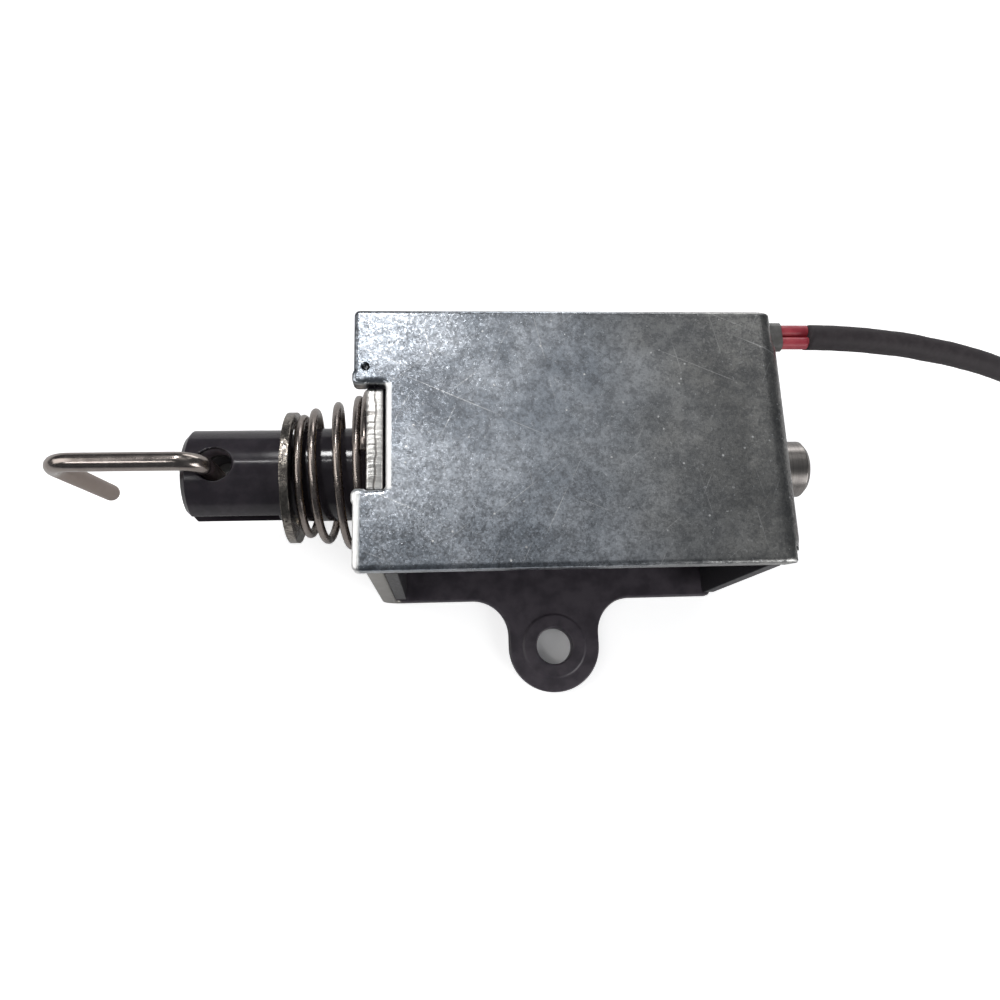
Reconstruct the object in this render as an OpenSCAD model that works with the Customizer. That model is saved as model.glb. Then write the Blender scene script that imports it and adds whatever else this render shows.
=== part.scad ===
// Push pull solenoid: a box frame of two steel angles round a coil, with a sprung plunger and hook
// in front, a push tip behind and sleeved leads.
// X runs along the plunger to the rear, Z up from the face that is screwed down.

/* [Frame] */
// Length of the upper yoke, from its free edge to the rear wall
body_l = 53; // [44:1:70]
// Width of both plates
body_w = 32; // [28:1:44]
// Height over both plates
body_h = 32; // [30:1:44]
// Thickness of the steel sheet
sheet_t = 2; // [1.5:0.1:2.5]
// Outer radius of both bends
bend_r = 2.8; // [2.6:0.1:4]
// How much narrower the rear wall is than the plate, each side
wall_inset = 1.6; // [0.8:0.1:3]
// How far the front wall stands back from the yoke's free edge
front_setback = 1.4; // [0.8:0.1:2.5]
// Width of the staked tabs
tab_w = 12.7; // [8:0.1:16]
// How far a staked tab's end lies below the face of the plate it passes through
tab_recess = 1.3; // [0.4:0.1:1.4]
// Clearance round a staked tab
tab_gap = 0.25; // [0.1:0.05:0.4]
// Depth of the yoke's notch from its free edge
notch_depth = 4.2; // [3.9:0.1:6]

/* [Mounting ear] */
// Place of the ear along the base, from its middle
ear_x = 0.2; // [-8:0.1:8]
// Width of the ear
ear_w = 13.4; // [11:0.1:18]
// Distance of the screw hole from the base's edge
ear_reach = 7; // [6:0.1:14]
// Diameter of the screw hole
ear_hole_d = 5.3; // [3.4:0.1:6.4]
// Radius where the ear meets the base
ear_root_r = 5.3; // [2:0.1:7]
// Diameter of the raised pad round the screw hole
ear_pad_d = 9.4; // [8:0.1:10.5]
// Height of the raised pad
ear_pad_h = 0.2; // [0.1:0.05:0.5]

/* [Plunger] */
// How far the plunger's axis lies below the middle of the frame
axis_drop = 0.8; // [0:0.1:0.8]
// Diameter of the plunger in its guide tube
plunger_d = 12.6; // [10:0.1:13]
// How much slimmer the plunger is in front of the ring, on the radius
nose_step = 0.2; // [0:0.05:0.4]
// How far the plunger stands out of the yoke's free edge at rest
plunger_out = 23.1; // [20:0.1:30]
// Travel of the plunger
stroke = 4; // [2:0.5:4]
// Length of the fixed pole inside the guide tube
pole_l = 19; // [12:0.5:21]
// Chamfer of the plunger's ends
plunger_chamfer = 0.7; // [0.5:0.1:2]
// Width of the clevis slot
slot_w = 3; // [2:0.1:4]
// Depth of the clevis slot
slot_depth = 11.9; // [9:0.1:12]
// Diameter of the cross hole
cross_d = 4.5; // [4:0.1:5]
// Distance of the cross hole from the plunger's end
cross_in = 4.3; // [4:0.1:6]
// Running clearance of the plunger, on the radius
slide_gap = 0.06; // [0.02:0.01:0.1]

/* [Retaining ring and spring] */
// Distance of the ring's groove from the plunger's end
groove_in = 13.05; // [12.8:0.05:14]
// Depth of the ring's groove
groove_depth = 1; // [0.6:0.1:1.4]
// Thickness of the retaining ring
ring_t = 1.1; // [0.8:0.1:1.5]
// Outer diameter of the retaining ring
ring_d = 17.7; // [16.8:0.1:19]
// How far the ring's outer edge lies off the plunger's axis
ring_shift = 0.4; // [0:0.1:0.5]
// Width of the retaining ring's mouth
ring_mouth = 8; // [6:0.5:9]
// Wire diameter of the return spring
spring_wire = 1.1; // [0.8:0.1:1.2]
// Diameter of the spring's small end, at the middle of the wire
spring_small_d = 14.6; // [14.3:0.1:16]
// Diameter of the spring's large end, at the middle of the wire
spring_large_d = 22.3; // [20:0.1:24]
// Turns of the return spring
spring_turns = 4.6; // [3:0.1:5]

/* [Hook] */
// Wire diameter of the hook
hook_d = 2.4; // [1.8:0.1:2.6]
// Length of the hook's arm, between the middles of its post and leg
hook_arm = 18.6; // [14:0.1:26]
// Gap between the arm and the plunger
hook_lift = 0.9; // [0.4:0.1:2]
// Bend radius of the hook, at the middle of the wire
hook_bend_r = 3; // [2:0.1:4]
// Length of the hook's leg below the arm
hook_leg = 21.4; // [14:0.1:22]
// Sideways lean of the leg
hook_lean = 4; // [0:2:10]
// Length of the foot that keeps the hook in the plunger
hook_foot = 4.6; // [4.2:0.1:6]

/* [Guide tube, pole and push rod] */
// Wall of the guide tube
tube_wall = 0.6; // [0.4:0.1:0.8]
// Outer diameter of the guide tube's rim
rim_d = 16.4; // [15.4:0.1:19]
// Thickness of the guide tube's rim
rim_t = 0.6; // [0.4:0.1:0.8]
// Clearance of the fixed pieces that sit in each other, on the radius
fit_gap = 0.05; // [0.03:0.01:0.1]
// Length of the pole's collar against the rear wall
collar_l = 5; // [3:0.5:8]
// Diameter of the pole's riveted tail
tail_d = 9; // [7:0.1:10]
// Diameter of the pole's rivet head
rivet_d = 10.8; // [10.2:0.1:13]
// Height of the pole's rivet head
rivet_h = 1.2; // [0.8:0.1:2]
// Diameter of the push rod
rod_d = 4; // [3:0.1:5]
// Running clearance of the push rod, on the radius
rod_gap = 0.08; // [0.04:0.01:0.1]
// How deep the push rod is fixed in the plunger
rod_in_plunger = 6; // [4:0.5:9]
// Diameter of the push tip
tip_d = 7.9; // [6.6:0.1:9]
// Length of the push tip
tip_l = 7; // [5:0.1:10]
// How deep the push rod is fixed in the push tip
rod_in_tip = 4; // [2.5:0.1:4.5]
// Chamfer of the push tip's end
tip_chamfer = 0.6; // [0.3:0.1:1.2]
// Thickness of the bumper washer on the pole's face
bumper_t = 0.6; // [0.4:0.1:1.5]

/* [Bobbin and coil] */
// Thickness of the bobbin's flanges
flange_t = 1.5; // [1:0.1:2.5]
// How far the flanges stay inside the plates' edges
flange_inset = 0.2; // [0.1:0.1:1]
// Corner radius of the flanges
flange_r = 1; // [0.5:0.1:2]
// Wall of the bobbin's tube
bobbin_wall = 1; // [0.7:0.1:1.5]
// Radial build of the copper winding
winding_build = 3.8; // [3:0.1:3.8]
// Thickness of the wrapping tape
tape_t = 0.5; // [0.2:0.1:0.5]
// Gap left between the tape and the flanges
tape_end_gap = 0.1; // [0.05:0.05:0.5]

/* [Leads] */
// Diameter of each red lead
lead_d = 1.6; // [1.2:0.1:1.6]
// Distance of the pair of leads inside the plates' edge
lead_in = 1.9; // [1.7:0.1:3.5]
// Distance of the pair of leads below the upper plate
lead_below = 1.6; // [1.5:0.1:2.5]
// Wall of the pale spout round the leads
spout_wall = 0.3; // [0.2:0.1:0.4]
// How far the spout stands out of the rear wall
spout_out = 1.3; // [0.5:0.1:2.5]
// Length of the leads between the rear wall and the sleeve
lead_show = 5; // [3:0.5:8]
// Outer diameter of the black sleeve
sleeve_d = 3.5; // [3.4:0.1:4]
// Length of the connector on the leads' far end
plug_l = 13; // [11:0.5:18]
// Width of the connector
plug_w = 8; // [7:0.1:10]
// Height of the connector
plug_h = 5.2; // [5:0.1:7]
// Width of each contact's cavity
cavity_w = 2.2; // [2:0.1:2.5]

/* [Hidden] */
$fn = 64;
eps = 0.5;

// Planes along the plunger's axis
yoke_front = -body_l / 2;
rear_face = body_l / 2;
rear_inner = rear_face - sheet_t;
front_face = yoke_front + front_setback;
front_inner = front_face + sheet_t;
plate_under = body_h - sheet_t;
axis_z = body_h / 2 - axis_drop;

// Plunger, pole and what sits on them
plunger_start = yoke_front - plunger_out;
pole_start = rear_inner - pole_l;
plunger_end = pole_start - bumper_t - stroke - slide_gap;
cross_x = plunger_start + cross_in;
ring_x = plunger_start + groove_in;
groove_slack = 0.05;
spring_rest_gap = 0.03;
groove_d = plunger_d - 2 * groove_depth;
tube_id = plunger_d + 2 * slide_gap;
tube_od = tube_id + 2 * tube_wall;
tube_end = rear_inner - collar_l;
pole_d = tube_id - 2 * fit_gap;
collar_d = tube_od;
pole_bore = rod_d + 2 * rod_gap;
rivet_end = rear_face + rivet_h;
tip_start = rivet_end + groove_slack;

// Bobbin and winding
bend_clear = 0.05;
flange_gap = bend_r - sheet_t + bend_clear;
bobbin_start = front_inner + fit_gap;
bobbin_end = rear_inner - fit_gap;
bobbin_id = tube_od + 4 * fit_gap;
bobbin_od = bobbin_id + 2 * bobbin_wall;
winding_id = bobbin_od + 2 * fit_gap;
winding_od = winding_id + 2 * winding_build;
tape_id = winding_od + 2 * fit_gap;
tape_od = tape_id + 2 * tape_t;

// Leads: the pair lies side by side in the upper corner of the frame
lead_touch_gap = 0.04;
lead_pitch = lead_d + lead_touch_gap;
lead_y = body_w / 2 - lead_in;
lead_z = plate_under - lead_below;
spout_h = lead_d + 2 * spout_wall;
spout_w = lead_pitch + spout_h;
spout_inside = 1.5;
spout_start = bobbin_end - flange_t - spout_inside;
spout_end = rear_face + spout_out;
spout_room = 0.1;
tag_t = 1;
bare_lead_l = 1.2;
tag_x = spout_start - bare_lead_l - tag_t;
tag_drop = 2.2;
pin_d = 0.9;
sleeve_start = rear_face + lead_show;

// Free stretch of the sleeve: points chosen by hand from where it covers the leads down to the table
cord_gap = 0.05;
cord_lie = sleeve_d / 2 + cord_gap;
cord_hang = [
    [sleeve_start, lead_y, lead_z], [35, 14.1, 28.2], [38.5, 14.1, 27.8], [42, 14.1, 27.1],
    [46, 14.1, 26.2], [50, 14, 25], [54, 14, 23.6], [58, 14, 21.9], [62, 14, 20], [66, 14.1, 17.7],
    [70, 14.2, 15.1], [74, 14.4, 12.3], [78, 14.7, 9.4], [82, 15.1, 6.7], [86, 15.5, 4.4],
    [90, 15.8, 2.8], [94, 16, 2], [98, 16, cord_lie]
];
// The turn on the table, worked out as a spiral that closes in a little
turn_mid = [98, -4];
turn_r = 20;
turn_closing = 4.6;
turn_sweep = 330;
turn_steps = 16;
function turn_point(a) =
    let (r = turn_r - turn_closing * a / 360)
    [turn_mid.x + r * sin(a), turn_mid.y + r * cos(a), cord_lie];
cord_turn = [for (i = [1:turn_steps]) turn_point(turn_sweep * i / turn_steps)];
cord_route = concat(cord_hang, cord_turn);
// Red tails from the sleeve's end, straight on at first, into the connector
cord_end = cord_turn[turn_steps - 1];
cord_end_way = unit(cord_end - cord_turn[turn_steps - 2]);
tail_straight = 1.5;
tail_route = [
    cord_end + cord_gap * cord_end_way, cord_end + tail_straight * cord_end_way, [94, 11.1, 1.5],
    [98, 10.7, 1.2], [101.5, 8.9, 1.2], [104, 5.9, 1.7], [105, 2.8, 2.4], [105, 0.5, plug_h / 2]
];
plug_x = 105;
plug_y = 0.5;
cavity_wall = 0.54;
cavity_pitch = cavity_w + cavity_wall;

// ---- Small helpers ----

// Draws what is modelled along +Z so that it runs along the plunger's axis from x
module on_axis(x) {
    translate([x, 0, axis_z]) rotate([0, 90, 0]) children();
}

// A flat outline drawn in Y and Z, made thick along +X from x
module across(x, t) {
    translate([x, 0, 0]) rotate([90, 0, 90]) linear_extrude(t) children();
}

// A bent sheet seen from its side: one leg along +X, one along +Y, outer corner at the origin
module angle_profile(long, tall) {
    translate([bend_r, 0]) square([long - bend_r, sheet_t]);
    translate([0, bend_r]) square([sheet_t, tall - bend_r]);
    intersection() {
        square(bend_r);
        translate([bend_r, bend_r]) difference() {
            circle(bend_r);
            circle(bend_r - sheet_t);
        }
    }
}

module rounded_rect(w, h, r) {
    square([w - 2 * r, h], center = true);
    square([w, h - 2 * r], center = true);
    for (x = [-1, 1], y = [-1, 1])
        translate([x * (w / 2 - r), y * (h / 2 - r)]) circle(r, $fn = 32);
}

module ring(d_out, d_in, l) {
    difference() {
        cylinder(d = d_out, h = l);
        translate([0, 0, -eps]) cylinder(d = d_in, h = l + 2 * eps);
    }
}

function unit(v) = v / norm(v);
function heading(path, i) = unit(path[min(i + 1, len(path) - 1)] - path[max(i - 1, 0)]);

// A round rod swept along path; side gives a direction across the path at each of its points
module swept_rod(path, side, d, sides) {
    n = len(path);
    points = [
        for (i = [0:n - 1])
            let (t = heading(path, i), a = unit(cross(t, side[i])), b = cross(t, a))
            for (k = [0:sides - 1])
                path[i] + d / 2 * (a * cos(360 * k / sides) + b * sin(360 * k / sides))
    ];
    walls = [
        for (i = [0:n - 2], k = [0:sides - 1])
            let (j = (k + 1) % sides)
            [i * sides + k, (i + 1) * sides + k, (i + 1) * sides + j, i * sides + j]
    ];
    near_cap = [for (k = [0:sides - 1]) k];
    far_cap = [for (k = [sides - 1:-1:0]) (n - 1) * sides + k];
    polyhedron(points, concat([near_cap], walls, [far_cap]), convexity = 8);
}

// ---- Frame ----

// Where a tab is staked, the corners beside it are peened over towards the tab
module notch_lips() {
    lip_r = 0.8;
    lip_in = 0.2;
    for (s = [-1, 1])
        translate([yoke_front + lip_r - lip_in, s * (tab_w / 2 + tab_gap + lip_r - lip_in), plate_under])
            cylinder(r = lip_r, h = sheet_t, $fn = 32);
}

module punch_marks() {
    mark_bottom_d = 0.5;
    mark_top_d = 1.4;
    mark_depth = 0.4;
    mark_beside_tab = 2;
    for (s = [-1, 1])
        translate([front_face, s * (tab_w / 2 + mark_beside_tab), body_h - mark_depth])
            cylinder(d1 = mark_bottom_d, d2 = 2 * mark_top_d - mark_bottom_d, h = 2 * mark_depth, $fn = 24);
}

module yoke() {
    notch_w = tab_w + 2 * tab_gap;
    narrow_l = 1.5;
    narrow_from = rear_face - narrow_l;
    relief = 0.8;
    notch_corner_r = 0.6;
    spout_notch_h = spout_h + 2 * spout_room;
    spout_notch_y = lead_y - spout_w / 2 - spout_room;
    color([0.62, 0.66, 0.69]) {
        difference() {
            translate([rear_face, body_w / 2, body_h]) rotate([90, 0, 0])
                linear_extrude(body_w) rotate(180) angle_profile(body_l, body_h);
            // Rear wall and bend are narrower, with a relief slot at each end of the bend
            for (s = [-1, 1]) {
                translate([narrow_from, s * (body_w / 2) - wall_inset, -eps])
                    cube([body_l, 2 * wall_inset, body_h + 2 * eps]);
                translate([narrow_from, s * (body_w / 2 - wall_inset) - relief, body_h - bend_r])
                    cube([relief, 2 * relief, bend_r + eps]);
            }
            // Notch for the front wall's tab, with round inner corners
            translate([yoke_front - eps, -notch_w / 2, plate_under - eps])
                cube([notch_depth - notch_corner_r + eps, notch_w, sheet_t + 2 * eps]);
            translate([yoke_front, -notch_w / 2 + notch_corner_r, plate_under - eps])
                cube([notch_depth, notch_w - 2 * notch_corner_r, sheet_t + 2 * eps]);
            for (s = [-1, 1])
                translate([
                    yoke_front + notch_depth - notch_corner_r,
                    s * (notch_w / 2 - notch_corner_r), plate_under - eps
                ]) cylinder(r = notch_corner_r, h = sheet_t + 2 * eps, $fn = 32);
            // Notch for the base's tab in the rear wall's lower edge
            translate([rear_inner - eps, -notch_w / 2, -eps])
                cube([sheet_t + 2 * eps, notch_w, sheet_t + tab_gap + eps]);
            // Hole for the pole's tail
            on_axis(rear_inner - eps) cylinder(d = tail_d + 2 * fit_gap, h = sheet_t + 2 * eps);
            // Side notch for the leads' spout
            translate([rear_inner - eps, spout_notch_y, lead_z - spout_notch_h / 2])
                cube([sheet_t + 2 * eps, body_w, spout_notch_h]);
            punch_marks();
        }
        notch_lips();
    }
}

// Outline of the ear in the base's plane, with round roots
module ear_outline() {
    edge = -body_w / 2;
    hole_y = edge - ear_reach;
    translate([ear_x, hole_y]) circle(d = ear_w);
    translate([ear_x - ear_w / 2, hole_y]) square([ear_w, ear_reach + eps]);
    for (s = [-1, 1])
        translate([ear_x + s * ear_w / 2, edge]) difference() {
            translate([s > 0 ? -eps : -ear_root_r, -ear_root_r])
                square([ear_root_r + eps, ear_root_r + eps]);
            translate([s * ear_root_r, -ear_root_r]) circle(ear_root_r);
        }
}

module mounting_bracket() {
    base_l = rear_inner - fit_gap - front_face;
    front_h = plate_under - fit_gap;
    rear_tab_l = sheet_t - tab_recess + fit_gap;
    hole_y = -body_w / 2 - ear_reach;
    color([0.2, 0.19, 0.21]) difference() {
        union() {
            translate([front_face, body_w / 2, 0]) rotate([90, 0, 0])
                linear_extrude(body_w) angle_profile(base_l, front_h);
            linear_extrude(sheet_t) ear_outline();
            translate([ear_x, hole_y, 0]) cylinder(d = ear_pad_d, h = sheet_t + ear_pad_h);
            // Staked tabs at the top of the front wall and at the rear of the base
            translate([front_face, -tab_w / 2, front_h - eps])
                cube([sheet_t, tab_w, sheet_t - tab_recess + fit_gap + eps]);
            translate([front_face + base_l - eps, -tab_w / 2, 0])
                cube([rear_tab_l + eps, tab_w, sheet_t]);
        }
        on_axis(front_face - eps) cylinder(d = tube_od + 2 * fit_gap, h = sheet_t + 2 * eps);
        translate([ear_x, hole_y, -eps]) cylinder(d = ear_hole_d, h = sheet_t + ear_pad_h + 2 * eps);
    }
}

// ---- Coil ----

module flange(x, is_rear) {
    w = body_w - 2 * flange_inset;
    h = plate_under - sheet_t - 2 * flange_gap;
    notch_y = lead_y - spout_w / 2 - spout_room;
    notch_h = spout_h + 2 * spout_room;
    difference() {
        across(x, flange_t) translate([0, body_h / 2]) rounded_rect(w, h, flange_r);
        on_axis(x - eps) cylinder(d = bobbin_id, h = flange_t + 2 * eps);
        // Corner cut where the leads' spout passes
        if (is_rear)
            translate([x - eps, notch_y, lead_z - notch_h / 2])
                cube([flange_t + 2 * eps, w, plate_under]);
    }
}

module bobbin() {
    color([0.13, 0.13, 0.14]) {
        flange(bobbin_start, false);
        flange(bobbin_end - flange_t, true);
        on_axis(bobbin_start + flange_t / 2)
            ring(bobbin_od, bobbin_id, bobbin_end - bobbin_start - flange_t);
    }
}

module coil_winding() {
    start = bobbin_start + flange_t + tape_end_gap;
    l = bobbin_end - flange_t - tape_end_gap - start;
    color([0.72, 0.36, 0.16]) on_axis(start) ring(winding_od, winding_id, l);
}

module coil_tape() {
    start = bobbin_start + flange_t + tape_end_gap;
    l = bobbin_end - flange_t - tape_end_gap - start;
    color([0.1, 0.1, 0.11]) on_axis(start) ring(tape_od, tape_id, l);
}

module guide_tube() {
    rim_start = front_face - rim_t - fit_gap;
    color([0.78, 0.58, 0.34]) on_axis(rim_start) difference() {
        union() {
            cylinder(d = rim_d, h = rim_t);
            cylinder(d = tube_od, h = tube_end - fit_gap - rim_start);
        }
        translate([0, 0, -eps]) cylinder(d = tube_id, h = body_l);
    }
}

// ---- Pole and bumper ----

module fixed_pole() {
    head_from = rear_face + fit_gap / 2;
    head_chamfer = 0.4;
    tip_bevel = 0.6;
    color([0.6, 0.6, 0.62]) on_axis(pole_start) difference() {
        rotate_extrude() polygon([
            [0, 0], [pole_d / 2 - tip_bevel, 0], [pole_d / 2, tip_bevel],
            [pole_d / 2, tube_end - pole_start],
            [collar_d / 2, tube_end - pole_start], [collar_d / 2, pole_l - fit_gap],
            [tail_d / 2, pole_l - fit_gap], [tail_d / 2, head_from - pole_start],
            [rivet_d / 2, head_from - pole_start], [rivet_d / 2, rivet_end - head_chamfer - pole_start],
            [rivet_d / 2 - head_chamfer, rivet_end - pole_start], [0, rivet_end - pole_start]
        ]);
        translate([0, 0, -eps]) cylinder(d = pole_bore, h = pole_l + sheet_t + rivet_h + 2 * eps);
    }
}

module bumper_washer() {
    rim_margin = 0.6;
    rod_margin = 0.3;
    color([0.9, 0.88, 0.8]) on_axis(pole_start - bumper_t)
        ring(pole_d - 2 * rim_margin, pole_bore + 2 * rod_margin, bumper_t);
}

// ---- Plunger and what moves with it ----

module plunger() {
    l = plunger_end - plunger_start;
    r = plunger_d / 2;
    nose_r = r - nose_step;
    groove_to = groove_in + ring_t + 2 * groove_slack;
    c = plunger_chamfer;
    mouth_chamfer = 0.35;
    color([0.12, 0.12, 0.13]) difference() {
        on_axis(plunger_start) rotate_extrude() polygon([
            [0, 0], [nose_r - c, 0], [nose_r, c], [nose_r, groove_in], [groove_d / 2, groove_in],
            [groove_d / 2, groove_to], [r, groove_to], [r, l - c], [r - c, l], [0, l]
        ]);
        // Clevis slot, flat in the plane of the mounting face
        translate([plunger_start - eps, -r - eps, axis_z - slot_w / 2])
            cube([slot_depth + eps, 2 * r + 2 * eps, slot_w]);
        // Cross hole, chamfered where it breaks out
        translate([cross_x, 0, axis_z - r - eps]) cylinder(d = cross_d, h = 2 * r + 2 * eps);
        for (s = [-1, 1])
            translate([cross_x, 0, axis_z + s * (nose_r - mouth_chamfer)]) mirror([0, 0, s > 0 ? 0 : 1])
                cylinder(d1 = cross_d, d2 = cross_d + 2 * (mouth_chamfer + eps), h = mouth_chamfer + eps);
        // Blind hole for the push rod
        on_axis(plunger_end - rod_in_plunger)
            cylinder(d = rod_d + 2 * fit_gap, h = rod_in_plunger + eps);
    }
}

// An E-shaped ring: three prongs reach the groove, and its mouth opens downwards
module ring_outline() {
    seat_d = groove_d + 2 * groove_slack;
    pocket_gap = 0.7;
    pocket_d = plunger_d + 2 * pocket_gap;
    prong_angle = 22;
    prong_w = seat_d * sin(prong_angle);
    difference() {
        translate([-ring_shift, 0]) circle(d = ring_d);
        circle(d = seat_d);
        difference() {
            circle(d = pocket_d);
            for (a = [90, -25, 205])
                rotate(a) translate([0, -prong_w / 2]) square([ring_d, prong_w]);
        }
        translate([-ring_mouth / 2, -ring_d]) square([ring_mouth, ring_d]);
    }
}

module retaining_ring() {
    color([0.7, 0.7, 0.7]) translate([0, 0, axis_z]) across(ring_x + groove_slack, ring_t) ring_outline();
}

// The spring's helix: close turns at both ends, opening and widening towards the front wall
spring_from = ring_x + groove_slack + ring_t + spring_wire / 2 + spring_rest_gap;
spring_to = front_face - spring_wire / 2 - spring_rest_gap;
spring_steps = 20;
end_ease = 0.66;
spring_first_angle = 234;
function spring_share(u) = u - end_ease * sin(360 * u) / (2 * PI);
function spring_r(u) = (spring_small_d + (spring_large_d - spring_small_d) * u) / 2;

module return_spring() {
    n = round(spring_turns * spring_steps);
    out = [
        for (i = [0:n])
            let (a = spring_first_angle + 360 * i / spring_steps)
            [0, cos(a), sin(a)]
    ];
    route = [
        for (i = [0:n])
            let (u = i / n, x = spring_from + (spring_to - spring_from) * spring_share(u))
            [x, 0, axis_z] + spring_r(u) * out[i]
    ];
    color([0.5, 0.47, 0.43]) swept_rod(route, out, spring_wire, 8);
}

module push_rod() {
    start = plunger_end - rod_in_plunger + fit_gap;
    color([0.72, 0.72, 0.73]) on_axis(start) cylinder(d = rod_d, h = tip_start + rod_in_tip - start);
}

module push_tip() {
    r = tip_d / 2;
    seat_bevel = 0.4;
    color([0.68, 0.66, 0.64]) on_axis(tip_start) difference() {
        rotate_extrude() polygon([
            [0, 0], [r - seat_bevel, 0], [r, seat_bevel], [r, tip_l - tip_chamfer],
            [r - tip_chamfer, tip_l], [0, tip_l]
        ]);
        translate([0, 0, -eps]) cylinder(d = rod_d + 2 * fit_gap, h = rod_in_tip + fit_gap + eps);
    }
}

// ---- Hook ----

// A quarter bend in the X-Z plane that starts heading up at the origin and ends heading along -X
module wire_bend(r) {
    translate([-r, 0, 0]) rotate([90, 0, 0]) rotate_extrude(angle = 90)
        translate([r, 0]) circle(d = hook_d, $fn = 32);
}

// A rod along +Z whose lower end is rounded below the origin
module round_ended_rod(d, l) {
    rotate_extrude($fn = 32) polygon(concat(
        [for (a = [-90:15:0]) d / 2 * [cos(a), sin(a)]],
        [[d / 2, l], [0, l]]
    ));
}

module hook() {
    // The post hangs against the outer side of the cross hole
    post = [cross_x - 0.9, -0.4];
    arm_z = axis_z + plunger_d / 2 + hook_lift + hook_d / 2;
    foot_z = axis_z - plunger_d / 2 - hook_lift - hook_d / 2;
    r = hook_bend_r;
    color([0.62, 0.6, 0.58]) translate([post.x, post.y, 0]) {
        translate([0, 0, foot_z + r]) cylinder(d = hook_d, h = arm_z - foot_z - 2 * r, $fn = 32);
        translate([0, 0, arm_z - r]) wire_bend(r);
        translate([0, 0, foot_z + r]) mirror([0, 0, 1]) wire_bend(r);
        translate([-r, 0, foot_z]) rotate([0, -90, 0]) cylinder(d = hook_d, h = hook_foot - r, $fn = 32);
        translate([-r, 0, arm_z]) rotate([0, -90, 0]) cylinder(d = hook_d, h = hook_arm - 2 * r, $fn = 32);
        // Leg, turned a little about the arm
        translate([-hook_arm, 0, arm_z]) rotate([hook_lean, 0, 0]) {
            translate([0, 0, -r]) mirror([1, 0, 0]) wire_bend(r);
            translate([0, 0, -hook_leg]) round_ended_rod(hook_d, hook_leg - r);
        }
    }
}

// ---- Leads ----

// The two places of a pair of leads, either side of their shared middle
module each_lead() {
    for (s = [-1, 1])
        translate([0, lead_y + s * lead_pitch / 2, lead_z]) rotate([0, 90, 0]) children();
}

module terminal_pins() {
    color([0.8, 0.8, 0.78]) translate([0, 0, -tag_drop]) each_lead()
        translate([0, 0, tag_x + tag_t]) cylinder(d = pin_d, h = bobbin_end - flange_t - tag_x - tag_t);
}

module terminal_tags() {
    tag_w = 1.3;
    color([0.82, 0.82, 0.8])
        for (s = [-1, 1])
            across(tag_x, tag_t) translate([lead_y + s * lead_pitch / 2, lead_z]) {
                circle(d = tag_w, $fn = 32);
                translate([0, -tag_drop]) circle(d = tag_w, $fn = 32);
                translate([-tag_w / 2, -tag_drop]) square([tag_w, tag_drop]);
            }
}

module stadium(w, h) {
    square([w - h, h], center = true);
    for (s = [-1, 1]) translate([s * (w - h) / 2, 0]) circle(d = h, $fn = 32);
}

module lead_spout() {
    room = 0.03;
    color([0.86, 0.85, 0.8]) across(spout_start, spout_end - spout_start)
        translate([lead_y, lead_z]) difference() {
            stadium(spout_w, spout_h);
            stadium(lead_pitch + lead_d + 2 * room, lead_d + 2 * room);
        }
}

module lead_wires() {
    color([0.7, 0.1, 0.12]) each_lead()
        translate([0, 0, tag_x + tag_t]) cylinder(d = lead_d, h = sleeve_start - tag_x - tag_t, $fn = 32);
}

function up_along(path) = [for (p = path) [0, 0, 1]];

module lead_sleeve() {
    color([0.14, 0.13, 0.15]) swept_rod(cord_route, up_along(cord_route), sleeve_d, 8);
}

module lead_tails() {
    n = len(tail_route);
    color([0.7, 0.1, 0.12])
        for (s = [-1, 1]) {
            side = [
                for (i = [0:n - 1])
                    let (spread = i == n - 1 ? cavity_pitch : lead_pitch)
                    tail_route[i] + s * spread / 2 * unit(cross(heading(tail_route, i), [0, 0, 1]))
            ];
            swept_rod(side, up_along(side), lead_d, 8);
        }
}

module connector_housing() {
    latch_w = 3;
    latch_l = 4;
    latch_h = 1;
    latch_from_end = 3;
    window_w = 1.4;
    window_l = 2;
    window_from_end = 9;
    color([0.9, 0.89, 0.85]) difference() {
        union() {
            translate([plug_x - plug_w / 2, plug_y - plug_l, 0]) cube([plug_w, plug_l, plug_h]);
            // Latch ramp on top
            translate([plug_x - latch_w / 2, plug_y - plug_l + latch_from_end, plug_h]) rotate([90, 0, 90])
                linear_extrude(latch_w) polygon([[0, 0], [latch_l, 0], [latch_l, latch_h]]);
        }
        for (s = [-1, 1]) {
            translate([plug_x + s * cavity_pitch / 2, plug_y - plug_l / 2, plug_h / 2])
                cube([cavity_w, plug_l + 2 * eps, cavity_w], center = true);
            // Windows that show the contacts' locking tongues
            translate([plug_x + s * cavity_pitch / 2, plug_y - plug_l + window_from_end, plug_h])
                cube([window_w, window_l, plug_h], center = true);
        }
    }
}

module connector_contacts() {
    wall = 0.3;
    play = 0.05;
    set_in = 1;
    box_w = cavity_w - 2 * play;
    box_l = plug_l - 3 * set_in;
    color([0.83, 0.72, 0.45])
        for (s = [-1, 1])
            translate([plug_x + s * cavity_pitch / 2, plug_y - plug_l + set_in + box_l / 2, plug_h / 2])
                difference() {
                    cube([box_w, box_l, box_w], center = true);
                    translate([0, -wall, 0]) cube([box_w - 2 * wall, box_l, box_w - 2 * wall], center = true);
                }
}

yoke();
mounting_bracket();
bobbin();
coil_winding();
coil_tape();
guide_tube();
fixed_pole();
bumper_washer();
plunger();
retaining_ring();
return_spring();
push_rod();
push_tip();
hook();
terminal_pins();
terminal_tags();
lead_spout();
lead_wires();
lead_sleeve();
lead_tails();
connector_housing();
connector_contacts();
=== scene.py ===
import math

import bmesh
import bpy
import numpy as np
from mathutils import Matrix, Vector
from mathutils.geometry import delaunay_2d_cdt


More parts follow.
